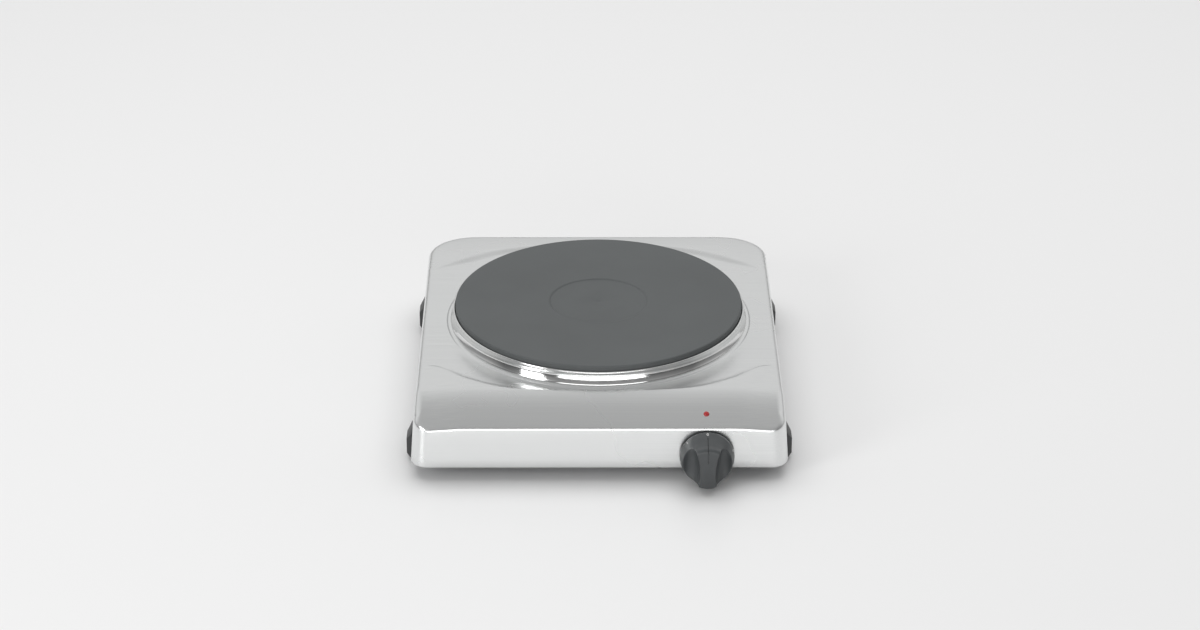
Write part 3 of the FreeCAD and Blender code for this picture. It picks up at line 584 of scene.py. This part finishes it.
# Dial numbers: small white figures printed on the knob's skirt, counting up against the turn.
# The "0" is on top when the plate is off.
dial_white, tree, shader = material("dial_print")
worn = noise(tree, 900.0, (1, 1, 1), 3.0)
tree.links.new(tint(tree, spread(tree, worn, 0.0, 1.0), (0.62, 0.62, 0.61), (0.80, 0.80, 0.79)),
               shader.inputs["Base Color"])
shader.inputs["Roughness"].default_value = 0.5
figure_h = 2.6 * mm
figure_r = knob_r - 0.2 * mm
figure_back = 4.0 * mm
skirt_lean = math.radians(76)
for count in range(7):
    around = math.radians(-count * 290 / 6)
    text = bpy.data.curves.new("dial_text", "FONT")
    text.body = str(count)
    text.size = figure_h * 1.35
    text.align_x = "CENTER"
    text.align_y = "CENTER"
    text.extrude = 0.05 * mm
    text_object = bpy.data.objects.new("dial_text", text)
    bpy.context.scene.collection.objects.link(text_object)
    bpy.context.view_layer.update()
    figure_mesh = bpy.data.meshes.new_from_object(
        text_object.evaluated_get(bpy.context.evaluated_depsgraph_get()))
    bpy.data.objects.remove(text_object)
    on_skirt = Matrix.Translation((0, figure_r + 0.02 * mm, figure_back))
    on_skirt = on_skirt @ Matrix.Rotation(-skirt_lean, 4, "X")
    place = Matrix.Translation((knob_x, knob_back, knob_z)) @ Matrix.Rotation(math.pi / 2, 4, "X")
    figure_mesh.transform(place @ Matrix.Rotation(-around, 4, "Z") @ on_skirt)
    figure = bpy.data.objects.new("dial_figure_" + str(count), figure_mesh)
    bpy.context.scene.collection.objects.link(figure)
    figure_mesh.materials.clear()
    figure_mesh.materials.append(dial_white)
    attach(figure, "control_knob")


# Pilot lamp: a small red domed lens that shows through a hole in the apron.
lens_low, lens_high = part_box("lamp_lens")
red, tree, shader = material("lens_red")
glow = noise(tree, 300.0, (1, 1, 1), 2.0)
tree.links.new(tint(tree, spread(tree, glow, 0.0, 1.0), (0.30, 0.010, 0.012), (0.40, 0.016, 0.018)),
               shader.inputs["Base Color"])
shader.inputs["Roughness"].default_value = 0.15
shader.inputs["Coat Weight"].default_value = 0.6
lens_r = 2.3 * mm
lens_x = (lens_low.x + lens_high.x) / 2
lens_y = -143.7 * mm
lens_z = top_height(lens_x, lens_y)
lens_tilt = math.atan2(top_height(lens_x, lens_y + 1 * mm) - top_height(lens_x, lens_y - 1 * mm), 2 * mm)


def on_apron(piece):
    """Sets a piece that was made about the origin onto the apron, square to the sheet."""
    place = Matrix.Translation((lens_x, lens_y + axis_y, lens_z)) @ Matrix.Rotation(lens_tilt, 4, "X")
    piece.data.transform(place)
    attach(piece, "base")


lens_profile = [(0, 1.0 * mm), (0.9 * mm, 0.93 * mm), (1.6 * mm, 0.7 * mm), (2.1 * mm, 0.35 * mm),
                (lens_r - 0.15 * mm, 0.05 * mm), (lens_r - 0.1 * mm, -0.3 * mm), (0, -0.3 * mm)]
lens = lathe("pilot_lens", lens_profile, (0, 0, 0), steps=64, smooth_angle=50)
lens.data.materials.append(red)
on_apron(lens)
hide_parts("lamp_lens")
rim_profile = [(lens_r - 0.12 * mm, -0.2 * mm), (lens_r - 0.1 * mm, 0.02 * mm),
               (lens_r + 0.25 * mm, 0.06 * mm), (lens_r + 0.4 * mm, -0.02 * mm),
               (lens_r + 0.35 * mm, -0.2 * mm)]
rim = lathe("lens_hole_edge", rim_profile, (0, 0, 0), steps=64, smooth_angle=60, closed=True)
rim.data.materials.append(housing_steel)
on_apron(rim)


# Cable gland: black ribbed sleeve at the rear that the mains lead leaves by.
gland_black = black_moulding("gland_plastic", (0.022, 0.022, 0.024), 0.45, 1800.0)
for node in ("cable_gland", "gland_nut", "lamp_nut"):
    nodes[node].data.materials.clear()
    nodes[node].data.materials.append(gland_black)


# Works inside: zinc-plated sheet and fasteners, fired fillings and blocks, brass tabs and a brown moulded
# regulator. They are seen through the vents and when the base plate is off.
def plain_finish(name, dark, light, rough, metallic, grain):
    made, tree, shader = material(name)
    cloud = noise(tree, 35.0, (1, 1, 1), 4.0)
    speck = noise(tree, grain, (1, 1, 1), 3.0)
    tree.links.new(tint(tree, spread(tree, cloud, 0.0, 1.0), dark, light), shader.inputs["Base Color"])
    tree.links.new(spread(tree, cloud, rough - 0.05, rough + 0.05).outputs[0], shader.inputs["Roughness"])
    shader.inputs["Metallic"].default_value = metallic
    bump(tree, shader, speck, 0.15, 0.0002)
    return made


inside_finishes = {
    "zinc_steel": plain_finish("zinc_plate", (0.50, 0.51, 0.53), (0.64, 0.65, 0.66), 0.38, 1.0, 800.0),
    "heater_wire": plain_finish("heater_wire", (0.20, 0.18, 0.17), (0.32, 0.29, 0.27), 0.55, 1.0, 900.0),
    "compound": plain_finish("magnesia", (0.66, 0.62, 0.54), (0.78, 0.74, 0.66), 0.9, 0.0, 500.0),
    "white_ceramic": plain_finish("steatite", (0.80, 0.77, 0.70), (0.88, 0.86, 0.80), 0.45, 0.0, 700.0),
    "lamp_glass": plain_finish("lamp_glass", (0.75, 0.42, 0.28), (0.85, 0.50, 0.34), 0.12, 0.0, 300.0),
    "brass_tabs": plain_finish("tab_brass", (0.62, 0.48, 0.20), (0.74, 0.58, 0.26), 0.32, 1.0, 800.0),
    "beige_moulding": plain_finish("phenolic", (0.42, 0.36, 0.26), (0.52, 0.46, 0.35), 0.5, 0.0, 900.0),
    "black_rubber": plain_finish("pad_rubber", (0.018, 0.018, 0.018), (0.030, 0.030, 0.030), 0.8, 0.0,
                                 1500.0),
}
for subpart in frame["record"]["subparts"]:
    if subpart["material_slot"] in inside_finishes:
        mesh = nodes[subpart["node"]].data
        mesh.materials.clear()
        mesh.materials.append(inside_finishes[subpart["material_slot"]])


# Floor and light: a plain pale surface in a room that is bright behind the plate and dim ahead of it. A large
# soft source hangs overhead, and two smaller ones at the front draw the streaks on the steel.
bm = bmesh.new()
bmesh.ops.create_grid(bm, x_segments=1, y_segments=1, size=6.0)
floor = finish_mesh(bm, "floor")
floor_paint, tree, shader = material("floor_pale")
shader.inputs["Base Color"].default_value = (0.80, 0.80, 0.80, 1)
shader.inputs["Roughness"].default_value = 0.35
floor.data.materials.append(floor_paint)

world = bpy.data.worlds.new("studio")
bpy.context.scene.world = world
world.use_nodes = True
tree = world.node_tree
sky = tree.nodes["Background"]
place = tree.nodes.new("ShaderNodeTexCoord")
parts = tree.nodes.new("ShaderNodeSeparateXYZ")
link(tree, place, "Generated", parts, "Vector")


def wall_brightness(stops):
    """One wall of the room: greys by height, from the horizon up to the zenith."""
    wall = tree.nodes.new("ShaderNodeValToRGB")
    tree.links.new(parts.outputs["Z"], wall.inputs["Fac"])
    ramp = wall.color_ramp
    while len(ramp.elements) < len(stops):
        ramp.elements.new(0.5)
    for element, (at, value) in zip(ramp.elements, stops):
        element.position = at
        element.color = (value, value, value, 1)
    return wall


behind = wall_brightness(((0.0, 0.30), (0.12, 0.40), (0.28, 0.84), (0.5, 0.84), (0.75, 0.72), (0.92, 0.58),
                          (1.0, 0.50)))
ahead = wall_brightness(((0.0, 0.10), (0.2, 0.16), (0.5, 0.34), (0.8, 0.46), (1.0, 0.50)))
side_mix = tree.nodes.new("ShaderNodeMapRange")
side_mix.inputs["From Min"].default_value = -0.25
side_mix.inputs["From Max"].default_value = 0.25
tree.links.new(parts.outputs["Y"], side_mix.inputs["Value"])
room = tree.nodes.new("ShaderNodeMix")
room.data_type = "RGBA"
tree.links.new(side_mix.outputs[0], room.inputs["Factor"])
tree.links.new(ahead.outputs["Color"], room.inputs["A"])
tree.links.new(behind.outputs["Color"], room.inputs["B"])
tree.links.new(room.outputs["Result"], sky.inputs["Color"])
sky.inputs["Strength"].default_value = 0.9


def soft_light(name, place, aim, size, power, mirrored):
    data = bpy.data.lights.new(name, "AREA")
    data.shape = "RECTANGLE"
    data.size = size[0]
    data.size_y = size[1]
    data.energy = power
    lamp = bpy.data.objects.new(name, data)
    bpy.context.scene.collection.objects.link(lamp)
    lamp.location = place
    lamp.rotation_euler = (Vector(aim) - Vector(place)).to_track_quat("-Z", "Y").to_euler()
    lamp.visible_glossy = mirrored
    return lamp


soft_light("overhead", (0.0, 0.7, 2.6), (0, 0, 0), (3.2, 2.0), 46, False)
soft_light("left_front", (-1.8, -1.5, 0.9), (0, -0.1, 0), (0.7, 1.2), 16, True)
soft_light("front_low", (0.1, -2.6, 0.45), (0, -0.15, 0.03), (3.2, 0.8), 22, True)
